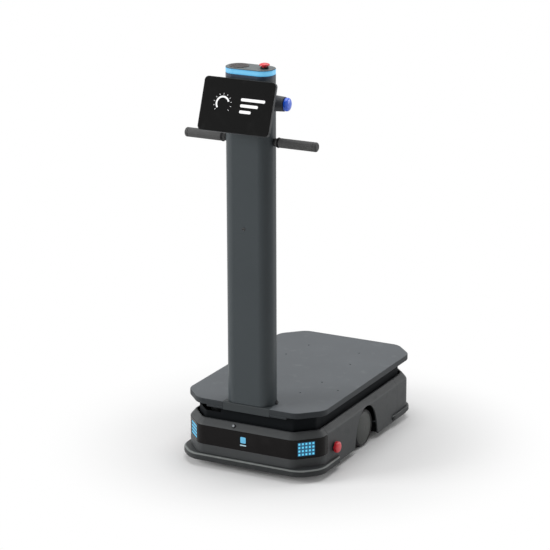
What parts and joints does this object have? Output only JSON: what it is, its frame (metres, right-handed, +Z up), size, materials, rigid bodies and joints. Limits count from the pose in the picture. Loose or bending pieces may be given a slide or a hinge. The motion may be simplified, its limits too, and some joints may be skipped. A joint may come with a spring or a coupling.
{
  "type": "mobile transport robot with lidar scanners",
  "caption": "Low wheeled robot base with a flat load deck, a scan slot with two spinning scanners, and a front mast carrying a tablet, handles, a light ring and stop buttons.",
  "frame": {"origin": "on the ground under the middle of the whole length and width", "axes": "+Z up, -Y the driving direction (the robot's front, where the mast and the tablet are), +X the robot's own left-hand side"},
  "size_m": [0.5326, 0.8736, 1.3503],
  "materials": {
    "shell": "dark grey moulded plastic, fine satin grain",
    "gloss_black": "polished smoked black",
    "lamp": "translucent diffuser lit light blue",
    "bumper_rubber": "matt black-grey bumper rubber",
    "frame": "black anodised",
    "hub": "smooth grey wheel disc",
    "tyre": "solid black rubber tread",
    "motor": "bare machined housing",
    "steel": "zinc plated",
    "battery": "dark blue plastic case",
    "contact_brass": "bare contact metal",
    "deck": "grey powder coat, fine texture",
    "black_plastic": "black satin plastic",
    "red": "red moulded plastic",
    "mast": "dark grey satin coat",
    "grip_rubber": "soft matt grip",
    "blue": "lit blue plastic"
  },
  "bodies": {
    "chassis": {"front_cover": "shell", "rear_cover": "shell", "left_cover": "shell", "right_cover": "shell", "display_panel": "gloss_black", "light_matrix_left": "lamp", "light_matrix_right": "lamp", "front_bumper": "bumper_rubber", "rear_bumper": "bumper_rubber", "chassis_frame": "frame", "gearmotor_left": "motor", "gearmotor_right": "motor", "battery_pack": "battery", "control_computer": "frame", "charge_contacts": "contact_brass", "deck_plate": "deck", "deck_frame": "frame", "slot_shroud": "black_plastic", "scanner_base_rear": "black_plastic", "scanner_window_rear": "gloss_black", "scanner_base_front": "black_plastic", "scanner_window_front": "gloss_black", "stop_collar_left": "black_plastic", "stop_collar_right": "black_plastic", "mast_foot": "mast", "mast_tube": "mast", "mast_sensor": "gloss_black", "head_collar": "black_plastic", "light_ring": "lamp", "top_cap": "mast", "speaker_grille": "black_plastic", "stop_collar_top": "black_plastic", "handle_bar": "mast", "handle_grip_left": "grip_rubber", "handle_grip_right": "grip_rubber", "start_button_housing": "black_plastic", "tablet_bracket": "frame", "tablet_pin": "steel"},
    "drive_wheel_left": {"drive_hub_left": "hub", "drive_tyre_left": "tyre"},
    "drive_wheel_right": {"drive_hub_right": "hub", "drive_tyre_right": "tyre"},
    "caster_front_left": {"caster_fork_front_left": "steel"},
    "caster_front_right": {"caster_fork_front_right": "steel"},
    "caster_rear_left": {"caster_fork_rear_left": "steel"},
    "caster_rear_right": {"caster_fork_rear_right": "steel"},
    "roller_front_left": {"caster_wheel_front_left": "tyre"},
    "roller_front_right": {"caster_wheel_front_right": "tyre"},
    "roller_rear_left": {"caster_wheel_rear_left": "tyre"},
    "roller_rear_right": {"caster_wheel_rear_right": "tyre"},
    "rotor_front": {"scanner_rotor_front": "frame"},
    "rotor_rear": {"scanner_rotor_rear": "frame"},
    "tablet": {"tablet_case": "black_plastic", "tablet_glass": "gloss_black"},
    "stop_head_left": {"stop_button_left": "red"},
    "stop_head_right": {"stop_button_right": "red"},
    "stop_head_top": {"stop_button_top": "red"},
    "start_cap": {"start_button": "blue"},
    "power_cap": {"power_button": "steel"}
  },
  "joints": [
    {"name": "drive_left_spin", "type": "hinge", "parent": "chassis", "child": "drive_wheel_left", "pos_m": [0.222, 0.03028, 0.064], "axis": [1, 0, 0], "continuous": true},
    {"name": "drive_right_spin", "type": "hinge", "parent": "chassis", "child": "drive_wheel_right", "pos_m": [-0.222, 0.03028, 0.064], "axis": [1, 0, 0], "continuous": true},
    {"name": "caster_front_left_swivel", "type": "hinge", "parent": "chassis", "child": "caster_front_left", "pos_m": [0.16, -0.26971, 0.06], "axis": [0, 0, 1], "continuous": true},
    {"name": "caster_front_right_swivel", "type": "hinge", "parent": "chassis", "child": "caster_front_right", "pos_m": [-0.16, -0.26971, 0.06], "axis": [0, 0, 1], "continuous": true},
    {"name": "caster_rear_left_swivel", "type": "hinge", "parent": "chassis", "child": "caster_rear_left", "pos_m": [0.16, 0.33028, 0.06], "axis": [0, 0, 1], "continuous": true},
    {"name": "caster_rear_right_swivel", "type": "hinge", "parent": "chassis", "child": "caster_rear_right", "pos_m": [-0.16, 0.33028, 0.06], "axis": [0, 0, 1], "continuous": true},
    {"name": "roller_front_left_spin", "type": "hinge", "parent": "caster_front_left", "child": "roller_front_left", "pos_m": [0.16, -0.24971, 0.025], "axis": [1, 0, 0], "continuous": true},
    {"name": "roller_front_right_spin", "type": "hinge", "parent": "caster_front_right", "child": "roller_front_right", "pos_m": [-0.16, -0.24971, 0.025], "axis": [1, 0, 0], "continuous": true},
    {"name": "roller_rear_left_spin", "type": "hinge", "parent": "caster_rear_left", "child": "roller_rear_left", "pos_m": [0.16, 0.35029, 0.025], "axis": [1, 0, 0], "continuous": true},
    {"name": "roller_rear_right_spin", "type": "hinge", "parent": "caster_rear_right", "child": "roller_rear_right", "pos_m": [-0.16, 0.35029, 0.025], "axis": [1, 0, 0], "continuous": true},
    {"name": "rotor_front_spin", "type": "hinge", "parent": "chassis", "child": "rotor_front", "pos_m": [-0.15, -0.25472, 0.18], "axis": [0, 0, 1], "continuous": true},
    {"name": "rotor_rear_spin", "type": "hinge", "parent": "chassis", "child": "rotor_rear", "pos_m": [0.15, 0.31528, 0.18], "axis": [0, 0, 1], "continuous": true},
    {"name": "tablet_tilt", "type": "hinge", "parent": "chassis", "child": "tablet", "pos_m": [0, -0.37472, 1.223], "axis": [1, 0, 0], "range_deg": [-3, 19]},
    {"name": "stop_left_press", "type": "slide", "parent": "chassis", "child": "stop_head_left", "axis": [1, 0, 0], "range_m": [-0.004, 0]},
    {"name": "stop_right_press", "type": "slide", "parent": "chassis", "child": "stop_head_right", "axis": [-1, 0, 0], "range_m": [-0.004, 0]},
    {"name": "stop_top_press", "type": "slide", "parent": "chassis", "child": "stop_head_top", "axis": [0, 0, 1], "range_m": [-0.004, 0]},
    {"name": "start_press", "type": "slide", "parent": "chassis", "child": "start_cap", "axis": [1, 0, 0], "range_m": [-0.003, 0], "stiffness_N_per_m": 600, "springref_m": 0.001},
    {"name": "power_press", "type": "slide", "parent": "chassis", "child": "power_cap", "axis": [0, -0.7791, 0.6269], "range_m": [-0.0015, 0], "stiffness_N_per_m": 800, "springref_m": 0.0005}
  ]
}
